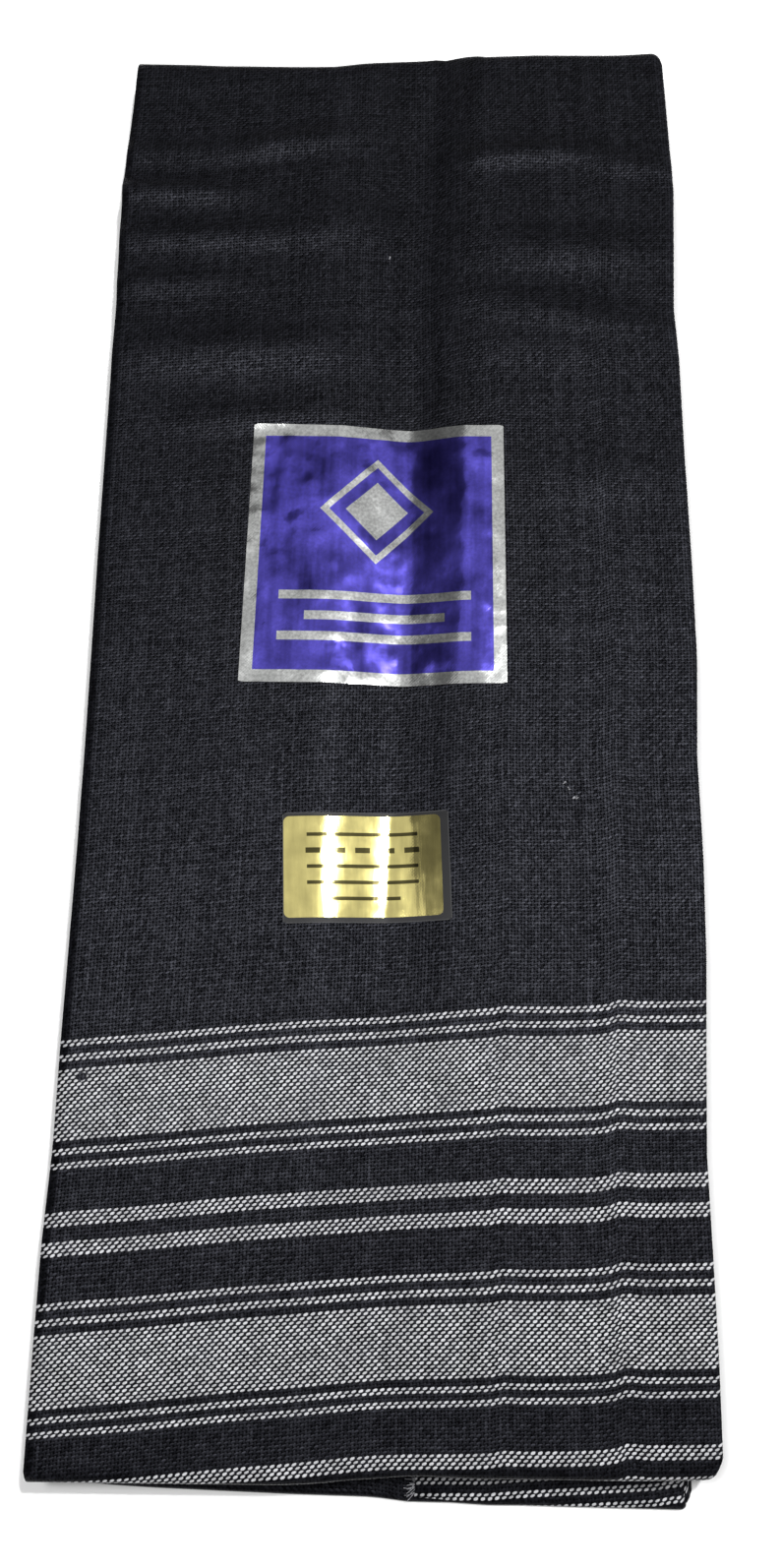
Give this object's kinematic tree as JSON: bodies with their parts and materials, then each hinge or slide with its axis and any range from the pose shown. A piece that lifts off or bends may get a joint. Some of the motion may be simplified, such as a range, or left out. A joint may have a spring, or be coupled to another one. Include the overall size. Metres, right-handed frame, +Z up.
{
  "type": "folded turban cloth",
  "caption": "Long black woven turban cloth with white striped ends, folded flat into an oblong pack for storage or sale, with plain foil stickers on its front panel.",
  "frame": {"origin": "centre of the pack's footprint, on the surface it lies on", "axes": "+Y along the pack from its striped near fold to its far fold, +X across it towards the folded long edge, +Z up out of the front panel"},
  "size_m": [0.2062, 0.5122, 0.0185],
  "materials": {
    "cloth": "plain weave, soft matt with a faint sheen",
    "purple_foil": "metallised film, slightly crinkled",
    "gold_foil": "metallised film, smooth"
  },
  "bodies": {
    "root": {"turban_cloth": "cloth", "foil_sticker": "purple_foil", "gold_sticker": "gold_foil"}
  },
  "joints": []
}
